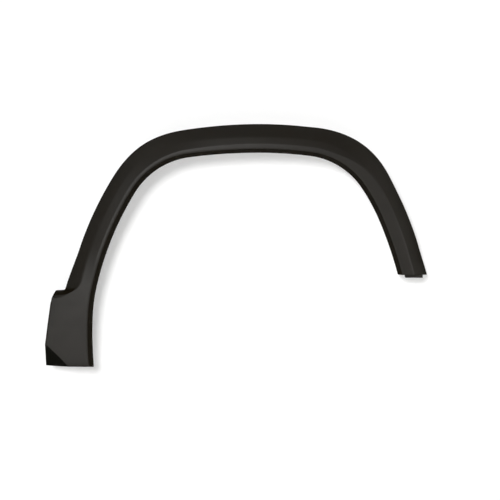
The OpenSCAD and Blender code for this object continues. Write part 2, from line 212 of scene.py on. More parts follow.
def band_width(s):
    """Width of the plain band: 66 mm, less a soft taper to the rear, plus a swelling at each
    shoulder and a soft flare towards the front end and towards the foot."""
    return (band_w - rear_taper * soft(-s / rear_taper_run)
            + swelling(s, front_shoulder) + swelling(s, rear_shoulder)
            + front_flare * soft((s - s_front_end + front_flare_run) / front_flare_run)
            + foot_flare * soft((s_ledge + foot_flare_start - s) / foot_flare_run))


# The foot: a flat cut at its lower corner, a face that rolls off over its last 9 mm, and a return
# flange whose lowest 13.5 mm lean down past the face
facet_height = 54
facet_width = 62
facet_lift = 3
facet_bow = 0.1
foot_corner = 5
foot_sag, sag_run = 1.3, 9
flange_tail, tail_run = 6, 13.5
foot_top_w = 98.0
foot_side = ((foot_end_z, 114.4), (foot_end_z + facet_height, 110.2), (-463, 102.4), (-421, 99.6),
             (ledge_z - ledge_height, foot_top_w))
near_ledge_z = -370

# The band turns into the ledge over 2.5 mm of height and the ledge into the foot over 1.5 mm,
# each from half a millimetre before its own height
ledge_onset, foot_onset, overlap = 2.5, 1.5, 0.5

# Over the ledge the crease swings outwards: rows of height, distance and the corner's trim
crease_swing = (
    (ledge_z + 30, crease_d, 0),
    (ledge_z + 16, crease_d, 6),
    (ledge_z + 4.5, 38, 6),
    (ledge_z - 1, 44, 4),
    (ledge_z - 4.5, 49, 4),
    (ledge_z - 11.5, 61, 6),
    (ledge_z - ledge_height + 0.2, 75, 1.5),
    (ledge_z - ledge_height - 0.9, 95.7, 1.5),
    (ledge_z - 35, 95.2, 0),
)


def face_point(d):
    """Point of the foot's face, which falls 1.2 degrees outwards from the land."""
    return np.stack([d, face_h - (d - foot_land) * np.tan(np.radians(foot_fall))], axis=-1)


def foot_width(z, edge_x):
    """Width of the foot. Its outer side is a line through points at given heights, each as far
    from the edge there as its width says, and the width between them is the side less the edge."""
    heights, widths = np.array(foot_side).T
    reach = widths - opening_edge(-length_down(rear_arcs, heights))[0]
    return edge_x + np.interp(z, heights, reach)


def section_width(s, z, edge_x, in_foot):
    """Width of each section: the band's, then a rounded line of heights and widths that steps
    out along the ledge, then the foot's."""
    start_w, top_w = band_width(-length_down(rear_arcs, [near_ledge_z, ledge_z]))
    along_ledge = softened(z, (
        (near_ledge_z, start_w, 0),
        (ledge_z - 0.1, top_w, 4),
        (ledge_z - 1.5, 95.6, 4),
        (ledge_z - 9, 97.2, 4),
        (ledge_z - ledge_height, foot_top_w, 2),
        (ledge_z - ledge_height - 4, 98.4, 0),
    ))
    near_ledge = (z < near_ledge_z) & (s < 0)
    return np.where(in_foot, foot_width(z, edge_x), np.where(near_ledge, along_ledge, band_width(s)))


# A face has two points between the crease and the rim: the shares of the way at which they stand,
# and how far they are lifted on the crowned band and on the foot's round edge
near_share, far_share = 0.34, 0.68
near_crown, far_crown = 0.3, 0.35
foot_near_share, foot_far_share = 0.4, 0.75
foot_bulge = 2.2

# How far each kind of rim stands in from the outer end, and how high over the body line
low_rim_in, low_rim_h = 1.5, 3.2
ledge_rim_in, ledge_rim_drop, ledge_rim_h = 1.2, 4, 2.2
side_rim_in, side_rim_drop, cut_rim_h = 0.4, 6, 7
ledge_near_step, ledge_far_step = (10, -10), (21, -20.5)


def band_face(w, crease):
    """Two points of the plain band's face and its rim. The face falls from the crease to a low
    rim, and the points at 34 and 68 % of the way are lifted a little, so that it is crowned."""
    rim = np.stack([w - low_rim_in, np.full_like(w, low_rim_h)], axis=-1)
    run = rim - crease
    return crease + run * near_share + [0, near_crown], crease + run * far_share + [0, far_crown], rim


def ledge_face(w, crease, up):
    """The same three points on the ledge, a ramp that rises from the body line, up = 0, to the
    foot's face, up = 1. Its top starts as a 45 degree slope and turns into a straight ramp."""
    rim_h = np.maximum((face_h - ledge_rim_drop) * up, ledge_rim_h)
    rim = np.stack([w - ledge_rim_in * (1 - up / 2), rim_h], axis=-1)
    run = rim - crease
    begun = soft(1.5 * up)[:, None]
    near = blend(crease + ledge_near_step, crease + run * near_share, begun)
    far = blend(crease + ledge_far_step, crease + run * far_share, begun)
    return near, far, rim


def foot_face(w, crease, cut):
    """The same three points on the foot's outer side: a short edge that bulges where it is
    round, cut = 0, and is a flat cut down to a rim of 7 mm at the lower corner, cut = 1."""
    rim = np.stack([w - side_rim_in, blend(face_h - side_rim_drop, cut_rim_h, cut)], axis=-1)
    run = rim - crease
    bulge = foot_bulge * (1 - soft(12 * cut))[:, None]
    near = crease + run * foot_near_share + bulge * [0.55, 0.45]
    far = crease + run * foot_far_share + bulge * [0.35, 0.4]
    return near, far, rim


# Roundings of a section's corners, as trims. The rim's, the face's and the crease's change from
# the band to the ledge, to the foot and to the edge of its flat cut.
corner_round, land_round, strip_round = 4.2, 1.6, 6
rim_round, foot_rim_round = 1.2, 2.5
face_round, ledge_round, foot_round = 9, 3, 2.5
crease_round, ledge_crease_round, foot_crease_round, cut_edge_round = 4, 1.5, 2.5, 0.8


def trim_keys(s):
    """Ten key points of each section as (distance, height, rise), and the trim of each corner.
    They are the flange's tip, the body line, the front corner, the land's end, the strip's
    middle, the crease or fold, two points of the outer face, the rim and the outer end. The
    band's points turn into the ledge's, and those into the foot's, by soft ramps in z. At the
    foot's end the face sags by the square of the way, and the flange leans down in proportion
    to its depth."""
    edge_x, z, _ = opening_edge(s)
    at_rear = s < 0
    none = np.zeros_like(s)
    in_foot = (z < ledge_z - ledge_height - overlap) & at_rear
    w = section_width(s, z, edge_x, in_foot)

    rear_land = side_land - rear_land_loss * soft(-s / rear_land_run)
    front_land = side_land + front_land_gain * soft((s - front_land_start) / front_land_run)
    land = np.where(in_foot, foot_land, np.where(at_rear, rear_land, front_land))
    cut = np.clip((foot_end_z + facet_height - z) / facet_height, 0, 1) * at_rear
    bowed = cut + facet_bow * cut * (1 - cut)
    fold = np.where(in_foot, w - foot_corner - (facet_width - foot_corner) * bowed,
                    np.where(at_rear, softened(z, crease_swing), crease_d))
    fall = blend(foot_fall, strip_fall + swelling(s, crease_fade), soft((s - s_ledge) / fall_run))
    crease = np.stack([fold, face_h - (fold - land) * np.tan(np.radians(fall))], axis=-1)
    crease = np.where(((z < ledge_z) & at_rear)[:, None], face_point(fold), crease)

    up = np.clip((ledge_z - z) / ledge_height, 0, 1)
    on_ledge = (soft((ledge_z + overlap - z) / ledge_onset) * at_rear)[:, None]
    on_foot = (soft((ledge_z - ledge_height + overlap - z) / foot_onset) * at_rear)[:, None]
    faces = zip(band_face(w, crease), ledge_face(w, crease, up), foot_face(w, crease, cut))
    near, far, rim = (blend(blend(band, ledge, on_ledge), foot, on_foot) for band, ledge, foot in faces)

    strip_end = np.stack([land, none + face_h], axis=-1)
    strip_crown = np.stack([none, strip_bulge * fall], axis=-1)
    keys = np.stack([
        np.stack([none - flange_lean, none - flange_past], axis=-1),
        np.stack([none - flange_lean / 2, none], axis=-1),
        np.stack([none + corner_in, none + corner_h], axis=-1),
        strip_end,
        (strip_end + crease) / 2 + strip_crown,
        crease,
        near,
        far,
        rim,
        np.stack([w, none], axis=-1),
    ], axis=1)
    from_end = s - s_foot_end
    sag = foot_sag * np.clip(1 - from_end / sag_run, 0, 1) ** 2 * at_rear
    keys[:, 2:9, 1] -= sag[:, None]
    lowest = np.clip(1 - from_end / tail_run, 0, 1)[:, None] * at_rear[:, None]
    lift = np.array([0, 0, 0, 0, 0, 0, 1, 2, 3, 3]) / 3 * facet_lift
    tail = flange_tail * (stand_out - keys[..., 1]) / (stand_out + flange_past)
    keys = np.concatenate([keys, (lowest * (lift - tail))[..., None]], axis=-1)

    ledge_share = on_ledge[:, 0]
    face_trim = np.where(in_foot, foot_round, face_round * (1 - ledge_share) + ledge_round * ledge_share)
    crease_trim = np.where(in_foot, blend(foot_crease_round, cut_edge_round, soft(6 * cut)),
                           blend(crease_round, ledge_crease_round, ledge_share))
    trims = np.stack([none, none, none + corner_round, none + land_round, none + strip_round, crease_trim,
                      face_trim, face_trim, np.where(in_foot, foot_rim_round, rim_round), none], axis=1)
    return keys, trims


least_lean = 0.35
inner_foot_h = 0.6


def inset(keys, thick):
    """Key points moved inwards by a wall: each by the mitre of its two sides' normals."""
    flat = keys[..., :2]
    step = flat[:, 1:] - flat[:, :-1]
    step = step / np.linalg.norm(step, axis=-1, keepdims=True)
    side = np.stack([step[..., 1], -step[..., 0]], axis=-1)
    mitre = side[:, :-1] + side[:, 1:]
    mitre = mitre * thick / (1 + np.sum(side[:, :-1] * side[:, 1:], axis=-1, keepdims=True))
    moved = keys.copy()
    moved[:, 1:-1, :2] += mitre
    moved[:, 0, 0] += thick
    moved[:, 1] = keys[:, 1]
    moved[:, 1, 0] += thick
    # The outer end's inner side stands on the body line, by the slope of the face that ends there
    steep = soft((flat[:, -2, 1] - thick) / 6)[:, None]
    lean = blend(flat[:, -3] - flat[:, -2], flat[:, -2] - flat[:, -1], steep)
    lean = lean / np.linalg.norm(lean, axis=-1, keepdims=True)
    foot = flat[:, -1] - np.stack([thick / np.maximum(lean[:, 1], least_lean), 0 * lean[:, 1]], axis=-1)
    moved[:, -1, :2] = foot
    moved[:, -2, :2] = foot + lean * inner_foot_h
    return moved


# How finely each side and each corner of a section is cut, and the columns that this gives to the
# body line, the front corner's fold and the middle of the crease
runs = (6, 6, 3, 3, 3, 3, 3, 3, 2)
folds = (0, 0, 9, 4, 1, 6, 4, 4, 4, 0)
body_col, front_col, crease_col = 6, 18, 42
inner_round = 2.2


def profiles(keys, trims):
    """Outer profile through the key points, and the inner one through the inset points, whose
    corners are rounded by 2.2 mm at most."""
    inner = rounded(inset(keys, wall), np.minimum(trims, inner_round), runs, folds)
    return rounded(keys, trims, runs, folds), inner


def stations_down(heights):
    """Places along the rear side at which the edge has dropped to the given heights."""
    return -length_down(rear_arcs, np.array(heights))


# Sections stand closer together where the shape changes faster: at the foot's end and the ledge
stations = np.concatenate([
    stations_down(np.linspace(foot_end_z + 4.5, -525, 26)),
    stations_down(np.linspace(-523.5, -407, 44)),
    stations_down(np.linspace(-406, -403.2, 15)),
    stations_down(np.linspace(-402.6, -387.2, 26)),
    stations_down(np.linspace(-386.95, -384.2, 28)),
    stations_down(np.linspace(-383.9, -368, 28)),
    np.arange(stations_down([-365.0])[0], s_front_end - 6, 3.0),
])

# At both ends the outer skin rounds over an edge of 1.1 mm, and the inner skin turns down to the
# body line, so that an end wall closes the room inside
edge_round = 1.1
edge_turn = np.radians([0, 30, 55, 75, 90])
rim_draw = 0.6
sink_steps = 6
sink_start = 1.2


def end_wall(s_end, towards):
    """Rings of an end wall. The outer skin runs out to the end, drawn in by r(1 - cos a) over
    its last r mm, while the inner skin stays one wall short of the end and sinks to h = 0."""
    past = edge_turn[1:]
    s_out = s_end - towards * np.concatenate([
        np.linspace(wall + sink_start, edge_round, sink_steps + 1), edge_round * (1 - np.sin(past))])
    draw_in = np.concatenate([np.zeros(sink_steps + 1), edge_round * (1 - np.cos(past))])
    keys, trims = trim_keys(s_out)
    drawn = np.stack([inset(keys[i:i + 1], e)[0] if e > 0 else keys[i] for i, e in enumerate(draw_in)])
    drawn[:, -1, :2] = keys[:, -1, :2] - np.stack([draw_in, 0 * draw_in], axis=-1)
    drawn[:, -2, :2] = keys[:, -2, :2] - np.stack([draw_in, rim_draw * draw_in], axis=-1)
    outer = rounded(drawn, trims, runs, folds)
    outer = in_space(s_out[:, None], outer[..., 0], outer[..., 1], outer[..., 2])
    s_wall = s_end - towards * wall
    flat = profiles(*trim_keys(np.full_like(s_out, s_wall)))[1]
    sink = np.concatenate([np.linspace(0, 1, sink_steps + 1), np.ones(len(past))])[:, None]
    room = np.arange(flat.shape[1]) >= body_col
    flat[..., 1] = np.where(room, flat[..., 1] * (1 - sink), flat[..., 1])
    last = np.arange(len(s_out)) == len(s_out) - 1
    s_in = np.where(room[None] & ~last[:, None], s_wall, s_out[:, None])
    return outer, in_space(s_in, flat[..., 0], flat[..., 1], flat[..., 2])


# Rings of points round the wall: out along the outer skin and back along the inner skin
foot_skins = end_wall(s_foot_end, -1)
front_skins = end_wall(s_front_end, 1)
skins = []
for k, profile in enumerate(profiles(*trim_keys(stations))):
    skin = in_space(stations[:, None], profile[..., 0], profile[..., 1], profile[..., 2])
    skins.append(np.concatenate([foot_skins[k][::-1], skin, front_skins[k]]))
rings = np.concatenate([skins[0], skins[1][:, ::-1]], axis=1)


def ring_faces(count, size):
    """Quads between ring i and ring i + 1, closed round the ring."""
    i, j = np.meshgrid(np.arange(count - 1), np.arange(size), indexing="ij")
    after = (j + 1) % size
    return np.stack([i * size + j, i * size + after, (i + 1) * size + after, (i + 1) * size + j],
                    axis=-1).reshape(-1, 4)


def strip_faces(ring_start, size):
    """Quads across a ring from its outer half to its inner half, which close an end."""
    j = np.arange(size // 2 - 1)
    return np.stack([ring_start + j, ring_start + j + 1,
                     ring_start + size - 2 - j, ring_start + size - 1 - j], axis=-1)


def end_caps(rows, count):
    """Two faces of many corners that close the first and the last of some rows of points."""
    j = np.arange(count)
    return np.stack([j[::-1], (rows - 1) * count + j])


def enclosed(points, faces):
    """Volume inside a closed mesh: the sum of its faces' tetrahedra from the origin."""
    total = 0
    for group in faces:
        for k in range(1, group.shape[1] - 1):
            a, b, c = points[group[:, 0]], points[group[:, k]], points[group[:, k + 1]]
            total = total + np.sum(a * np.cross(b, c)) / 6
    return total


def solid(name, points, faces, materials, numbers=(0,)):
    """Object from closed groups of faces turned outwards; each group has its material's number."""
    if enclosed(points, faces) < 0:
        faces = [group[:, ::-1] for group in faces]
    mesh = bpy.data.meshes.new(name)
    mesh.from_pydata(points.tolist(), [], [face for group in faces for face in group.tolist()])
    for material in materials:
        mesh.materials.append(material)
    numbers = np.repeat(np.resize(numbers, len(faces)), [len(group) for group in faces])
    mesh.polygons.foreach_set("material_index", numbers.astype(np.int32))
    made = bpy.data.objects.new(name, mesh)
    bpy.context.scene.collection.objects.link(made)
    return made


def linear(code):
    """Linear colour of an sRGB hex code: c / 12.92 for dark values, and otherwise
    ((c + 0.055) / 1.055)^2.4."""
    part = np.array([int(code[k:k + 2], 16) for k in (1, 3, 5)]) / 255
    part = np.where(part <= 0.04045, part / 12.92, ((part + 0.055) / 1.055) ** 2.4)
    return (*part.tolist(), 1.0)


def add_node(material, kind, values=(), feeds=(), **settings):
    """One node with its settings, its sockets' values and the sockets that feed it."""
    node = material.node_tree.nodes.new(kind)
    for name, value in settings.items():
        setattr(node, name, value)
    for socket, value in dict(values).items():
        node.inputs[socket].default_value = value
    for socket, output in dict(feeds).items():
        material.node_tree.links.new(output, node.inputs[socket])
    return node


# Soft noise mostly lies between these two levels
noise_low, noise_high = 0.3, 0.7


def uneven_finish(name, colour, roughness, ior, patch=0.05, tone=0.1, gloss=0.03):
    """Material whose tone and gloss drift in soft patches, patch metres wide, from how it was
    made and handled: the colour times 1 - tone to 1 + tone, and the roughness less or more by
    gloss. It comes with its shader and its Object coordinates."""
    material = bpy.data.materials.new(name)
    material.use_nodes = True
    links = material.node_tree.links
    shader = material.node_tree.nodes["Principled BSDF"]
    shader.inputs["IOR"].default_value = ior
    where = add_node(material, "ShaderNodeTexCoord").outputs["Object"]
    patches = add_node(material, "ShaderNodeTexNoise", {"Scale": 1 / patch, "Detail": 3},
                       {"Vector": where})
    level = patches.outputs["Fac"]
    share = add_node(material, "ShaderNodeMapRange", {
        "From Min": noise_low, "From Max": noise_high, "To Min": 1 - tone, "To Max": 1 + tone},
        {"Value": level})
    shade = add_node(material, "ShaderNodeVectorMath", {0: linear(colour)[:3]},
                     {"Scale": share.outputs["Result"]}, operation="SCALE")
    links.new(shade.outputs[0], shader.inputs["Base Color"])
    rough = add_node(material, "ShaderNodeMapRange", {
        "From Min": noise_low, "From Max": noise_high,
        "To Min": roughness + gloss, "To Max": roughness - gloss}, {"Value": level})
    links.new(rough.outputs["Result"], shader.inputs["Roughness"])
    return material, shader, where


# Matt black polypropylene with a fine leather grain from the mould. It gives the eye a soft wide
# sheen on the faces turned to the light, no clear reflection, and a slightly uneven tone.
black_pp, face_shader, where = uneven_finish("grained_black_polypropylene", "#17130c", 0.49, 1.49)
face_links = black_pp.node_tree.links

# The grain: rounded cells 1.6 mm wide with narrow grooves and a finer roughness on top. Real
# grain is about half as coarse and would not show at this distance.
grain_cell = 0.0016
grain_depth = 0.00006
groove_width = 0.22
fine_share = 0.35
cells = add_node(black_pp, "ShaderNodeTexVoronoi", {"Scale": 1 / grain_cell}, {"Vector": where},
                 feature="DISTANCE_TO_EDGE")
groove = add_node(black_pp, "ShaderNodeMapRange", {"From Max": groove_width},
                  {"Value": cells.outputs["Distance"]}, interpolation_type="SMOOTHSTEP")
fine = add_node(black_pp, "ShaderNodeTexNoise", {"Scale": 2 / grain_cell, "Detail": 2}, {"Vector": where})
height = add_node(black_pp, "ShaderNodeMath", {1: fine_share},
                  {0: fine.outputs["Fac"], 2: groove.outputs["Result"]}, operation="MULTIPLY_ADD")
bump = add_node(black_pp, "ShaderNodeBump", {"Strength": 0.5, "Distance": grain_depth},
                {"Height": height.outputs[0]})
face_links.new(bump.outputs[0], face_shader.inputs["Normal"])

# Seen at a flat angle the grain's cells shade each other, so that the sheen fades away there
fade_start, fade_end = 0.22, 0.4
facing_sheen, flat_sheen = 0.32, 0.001
view = add_node(black_pp, "ShaderNodeLayerWeight", {"Blend": 0.5})
sheen = add_node(black_pp, "ShaderNodeMapRange", {
    "From Min": fade_start, "From Max": fade_end, "To Min": facing_sheen, "To Max": flat_sheen},
    {"Value": view.outputs["Facing"]})
face_links.new(sheen.outputs["Result"], face_shader.inputs["Specular IOR Level"])

# The same plastic from a smooth part of the mould on the flat cut at the foot's lower corner, with a
# darker colour and almost no reflection: painted shade, which makes the cut look darker than the faces
# round it. The hidden side has its own tool-smooth finish, which shows a clearer gloss.
smooth_pp_painted_shade, cut_shader_painted_shade, _ = uneven_finish("smooth_black_polypropylene", "#0d0d09", 0.32, 1.49)
# Almost no reflection on the flat cut: with its darker colour, this paints shade there
cut_shader_painted_shade.inputs["Specular IOR Level"].default_value = 0.03
inner_pp, _, _ = uneven_finish("tool_smooth_black_polypropylene", "#1f1e1c", 0.4, 1.49)
moulded_pp = (black_pp, inner_pp, smooth_pp_painted_shade)
grained, hidden, flat_cut = 0, 1, 2

ring_count, ring_size = rings.shape[:2]
shell_points = rings.reshape(-1, 3)
around = ring_faces(ring_count, ring_size)
column = np.arange(len(around)) % ring_size
outside = column < ring_size // 2 - 1
in_cut = shell_points[around].mean(axis=1)[:, 2] * 1000 < foot_end_z + facet_height - 1
in_cut &= (column >= crease_col) & outside
moulding = solid("moulding", shell_points, [
    around[outside & ~in_cut],
    around[in_cut],
    around[~outside],
    strip_faces(0, ring_size)[:, ::-1],
    strip_faces((ring_count - 1) * ring_size, ring_size),
], moulded_pp, (grained, flat_cut, hidden, grained, grained))


# Clip towers: eight small three-walled houses of the same plastic, moulded inside the shell. Each
# carries a slotted plate 2 mm off the body, and a clip's head slides into the slot from the side.

def moulded(body, parts, operation):
    """The body joined with the parts, or cut by them, as one closed mesh."""
    for part in parts:
        step = body.modifiers.new(part.name, "BOOLEAN")
        step.operation = operation
        step.solver = "MANIFOLD"
        step.object = part
    depsgraph = bpy.context.evaluated_depsgraph_get()
    body.data = bpy.data.meshes.new_from_object(body.evaluated_get(depsgraph))
    body.modifiers.clear()
    for part in parts:
        bpy.data.objects.remove(part)


def prisms(name, pairs, materials=moulded_pp, number=hidden):
    """One object of prisms, each between two outlines with the same number of points: a quad from
    each side of the one to the same side of the other, and the two outlines as ends."""
    points, sides, caps, start = [], [], [], 0
    for low, high in pairs:
        points += [low, high]
        sides.append(start + ring_faces(2, len(low)))
        caps.append(start + end_caps(2, len(low)))
        start += 2 * len(low)
    return solid(name, np.concatenate(points), [np.concatenate(sides), *caps], materials, (number,))


def rounded_outline(corners, radius, count=5):
    """Closed outline whose corners P become P - u r(1-w)^2 + v r w^2, as in the sections."""
    corners = np.array(corners, float)
    before = corners - np.roll(corners, 1, axis=0)
    after = np.roll(corners, -1, axis=0) - corners
    before /= np.linalg.norm(before, axis=1, keepdims=True)
    after /= np.linalg.norm(after, axis=1, keepdims=True)
    w = np.linspace(0, 1, count)[None, :, None]
    radius = np.broadcast_to(radius, len(corners))[:, None, None]
    path = corners[:, None] - before[:, None] * radius * (1 - w) ** 2 + after[:, None] * radius * w ** 2
    return path.reshape(-1, 2)


def mid_wall(s, d):
    """Height of the middle of the shell's wall at the distances d in section s: the mean of the
    outer and the inner skin, each read off its profile from the front corner on."""
    heights = []
    for profile in profiles(*trim_keys(np.array([s]))):
        face = profile[0, front_col:]
        heights.append(np.interp(d, face[:, 0], face[:, 1]))
    return (heights[0] + heights[1]) / 2


def section_frame(s):
    """Place of the edge in one section, x and z, and the section's heading."""
    place = np.array([float(s)])
    x, z, _ = opening_edge(place)
    return x[0], z[0], section_heading(place)[0]


def at_site(s, outline, height=None):
    """Metres in space of a flat outline (along the edge, distance from it) at a height over the
    body line in section s. Without a height it reaches into the middle of the shell's wall."""
    x, z, way = section_frame(s)
    along, d = outline[:, 0], outline[:, 1]
    px = x + along * np.cos(way) + d * np.sin(way)
    pz = z - along * np.sin(way) + d * np.cos(way)
    if height is None:
        y = panel_y(px, pz) - mid_wall(s, d)
    else:
        middle = np.mean(d)
        y = panel_y(x + middle * np.sin(way), z + middle * np.cos(way)) - height + 0 * px
    return np.stack([px, y, pz], axis=-1) / 1000


def box(low_x, high_x, low_d, high_d):
    """Four corners of an upright rectangle, in order round it."""
    return [(low_x, low_d), (high_x, low_d), (high_x, high_d), (low_x, high_d)]


# Each site is a place along the edge and a distance from it
clip_sites = ((-100, 35), (-262.5, 35), (-425.1, 35), (-587.6, 35), (-705.3, 65.3),
              (100, 35), (286.5, 35), (472.9, 35))
tower_half = 10
tower_wall = 2
tower_corner = 1.5
room_half = tower_half - tower_wall
room_corner = 1.2
room_past = 4
room_top = 60
plate_low = 2
plate_top = plate_low + tower_wall
slot_half = 3.8
lead_in, lead_flare = 3, 1.6
cut_past = 1
slot_bend = np.radians(np.linspace(90, 270, 13))
towers, tower_rooms, clip_slots = [], [], []
for s, d in clip_sites:
    block = box(-tower_half, tower_half, d - tower_half, d + tower_half)
    block = rounded_outline(block, tower_corner)
    towers.append((at_site(s, block, plate_low), at_site(s, block)))
    room = box(-room_half, tower_half + room_past, d - room_half, d + room_half)
    room = rounded_outline(room, room_corner)
    tower_rooms.append((at_site(s, room, plate_top), at_site(s, room, room_top)))
    mouth = slot_half + lead_flare
    slot = np.concatenate([
        np.stack([slot_half * np.cos(slot_bend), d + slot_half * np.sin(slot_bend)], axis=-1),
        [(tower_half - lead_in, d - slot_half), (tower_half + cut_past, d - mouth),
         (tower_half + cut_past, d + mouth), (tower_half - lead_in, d + slot_half)],
    ])
    clip_slots.append((at_site(s, slot, plate_low - cut_past), at_site(s, slot, plate_top + cut_past)))
clip_towers = prisms("clip_towers", towers)
moulded(clip_towers, [prisms("tower_rooms", tower_rooms), prisms("clip_slots", clip_slots)], "DIFFERENCE")


# Webs: ten thin walls of the same plastic across the shell, between the towers and in the foot.
# They stiffen the moulding and run from the return flange to the rim.

def across(s, outline, half):
    """Two copies of an outline (distance, height) of section s, each the edge's point plus the
    distance along the section's heading, half a web to either side along the edge."""
    x, z, way = section_frame(s)
    d, h = outline[:, 0], outline[:, 1]
    y = panel_y(x + d * np.sin(way), z + d * np.cos(way)) - h
    return [np.stack([
        x + side * np.cos(way) + d * np.sin(way),
        y,
        z - side * np.sin(way) + d * np.cos(way),
    ], axis=-1) / 1000 for side in (-half, half)]


web_half = 0.9
web_heel = 9
web_places = (-181.3, -343.8, -506.3, -50, 50, 193.2, 379.7, 514.3, -651.3, -740.1)
web_outlines = []
for s in web_places:
    outer, inner = (profile[0, :, :2] for profile in profiles(*trim_keys(np.array([float(s)]))))
    middle = ((outer + inner) / 2)[body_col + 3:-3]
    middle = middle[middle[:, 1] > web_heel]
    outer_end = (outer[-2] + inner[-2]) / 2
    web_outlines.append(across(s, np.concatenate([middle, [outer_end]]), web_half))
webs = prisms("webs", web_outlines)


# Locating pins: one at the crown and one in the foot, each moulded on a round boss. They enter
# holes in the body and set the trim's place before the clips are pressed home.

# What meets the body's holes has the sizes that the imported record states, in millimetres
mounts = {mount["name"]: mount["dims"] for mount in frame["record"]["mounts"]}
pin_r = mounts["crown_locator"]["r_mm"]
pin_length = mounts["crown_locator"]["length_mm"]
pin_sites = ((0, 36), (-677.75, 58.7))
pin_foot = 0.9
boss_r = 7
circle = np.radians(np.linspace(0, 360, 64, endpoint=False))


def turned(name, sites, profile, materials=moulded_pp, number=hidden):
    """Solids of revolution about the body's inward direction: rings of the radius r at the
    depth y past the body line, for a profile of (r, y) from end to end."""
    points, walls, caps, start = [], [], [], 0
    rows, count = len(profile), len(circle)
    r, y = profile[:, 0, None] / 1000, profile[:, 1, None] / 1000
    for s, d in sites:
        base = at_site(s, np.array([[0.0, d]]), 0)[0]
        points.append(np.stack([base[0] + r * np.cos(circle), base[1] + y + 0 * circle,
                                base[2] + r * np.sin(circle)], axis=-1).reshape(-1, 3))
        walls.append(start + ring_faces(rows, count))
        caps.append(start + end_caps(rows, count))
        start += rows * count
    return solid(name, np.concatenate(points), [np.concatenate(walls), *caps], materials, (number,))


boss_pairs = []
for s, d in pin_sites:
    boss = np.stack([boss_r * np.cos(circle), d + boss_r * np.sin(circle)], axis=-1)
    boss_pairs.append((at_site(s, boss, 0), at_site(s, boss)))
bosses = prisms("bosses", boss_pairs)
pins = turned("pins", pin_sites, np.array([
    (pin_r + pin_foot, -1),
    (pin_r + pin_foot, 0),
    (pin_r + 0.35, 0.25),
    (pin_r, pin_foot),
    (pin_r, pin_length),
    (pin_r - 0.15, pin_length + 0.4),
    (pin_r - 1.3, pin_length + 1.8),
    (pin_r - 1.7, pin_length + 2),
]))


# Tab: a flat tongue of the same plastic, moulded on below the front leg's end. It stands 9 mm in
# front of the body and slides under the bumper's edge. Its rear corner is cut off.

front_edge_x = 358.8
tab_in = 9.7
tab_x = front_edge_x + tab_in
tab_w = 45.5
tab_off = 9
tab_y = float(panel_y(np.array(tab_x + tab_w / 2), np.array(front_end_z))) - tab_off
tab_root = 2.2
tab_out = 7.4
tab_cut = 2.6
tab_half, tab_edge = 1.25, 0.5
tab_outline = rounded_outline(
    [(0, tab_root), (0, tab_cut - tab_out), (tab_cut, -tab_out), (tab_w, -tab_out), (tab_w, tab_root)],
    [0.5, 1.2, 1.2, 1.0, 0.5])
tab_reach = np.array([tab_w, tab_root + tab_out]) / 2
tab_centre = np.array([tab_w, tab_root - tab_out]) / 2
tab_flat = tab_half - tab_edge
tab_layers = []
for back, shrink in ((-tab_half, tab_edge), (-tab_flat, 0), (tab_flat, 0), (tab_half, tab_edge)):
    outline = tab_centre + (tab_outline - tab_centre) * (1 - shrink / tab_reach)
    tab_layers.append(np.stack([tab_x + outline[:, 0], tab_y + back + 0 * outline[:, 0],
                                front_end_z + outline[:, 1]], axis=-1) / 1000)
tab_rows, tab_count = len(tab_layers), len(tab_outline)
tab = solid("tab", np.concatenate(tab_layers),
            [ring_faces(tab_rows, tab_count), end_caps(tab_rows, tab_count)], moulded_pp)


# Screw holes: two in the return flange at the crown and two in the foot's lower wall, cut upwards
# by pins in the mould. With them and all that stands on it, the moulding is whole.

crown_hole_r = mounts["crown_screw_holes"]["hole_r_mm"]
crown_hole_x = mounts["crown_screw_holes"]["spacing_x_mm"] / 2
crown_hole_y = 11
foot_hole_r = mounts["foot_screw_holes"]["hole_r_mm"]
foot_hole_xs = (-501.2, -451.2)
foot_hole_y = 14.06


def upright_hole(x, y, z, radius, depth):
    """Two circles of the radius about (x, y), the depth below and above z."""
    px, py = x + radius * np.cos(circle), y + radius * np.sin(circle)
    return tuple(np.stack([px, py, z + side + 0 * px], axis=-1) / 1000 for side in (-depth, depth))


screw_holes = prisms("screw_holes", [
    *(upright_hole(x, crown_hole_y, edge_top, crown_hole_r, 14) for x in (-crown_hole_x, crown_hole_x)),
    *(upright_hole(x, foot_hole_y, foot_end_z, foot_hole_r, 10) for x in foot_hole_xs)])
moulded(moulding, [clip_towers, webs, bosses, pins, tab], "UNION")
moulded(moulding, [screw_holes], "DIFFERENCE")
moulding.data.shade_smooth()
moulding.data.set_sharp_from_angle(angle=np.radians(35))
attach(moulding, "root")
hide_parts("arch_trim")


# Push-in clips: eight fasteners moulded from nylon. Each has a head that sits in a tower, a neck
# in the slot, a thin sealing collar against the body and a split stem with four rings of barbs,
# which is pressed into a hole in the body.

head_top, slot_top, slot_low = -5.9, -4.3, -1.7
barb_count, barb_pitch = 4, 3
stem_r, barb_reach, barb_taper = 2.4, 2, 0.15
clip_rows = [(0.3, head_top), (6.6, head_top), (7.0, head_top + 0.15), (7.2, head_top + 0.5),
             (7.2, slot_top - 0.4), (7.0, slot_top), (3.9, slot_top), (3.5, slot_top + 0.4),
             (3.5, slot_low - 0.3), (3.9, slot_low), (6.0, slot_low), (8.3, slot_low + 0.55),
             (8.6, slot_low + 0.8), (8.5, slot_low + 1.0), (8.2, slot_low + 1.0), (5.8, slot_low + 0.6),
             (3.5, slot_low + 0.9), (2.5, -0.1)]
for k in range(barb_count):
    start = barb_pitch * k
    reach = stem_r + barb_reach * (1 - barb_taper * k)
    clip_rows += [(stem_r, start + 0.3), (reach - 0.3, start + 0.75), (reach, start + 1.1),
                  (reach, start + 1.35), (reach - 0.5, start + 1.7), (2.5, start + 2.3)]
clip_rows += [(stem_r, 12.2), (2.1, 13), (1.2, 13.8), (0.9, 14)]

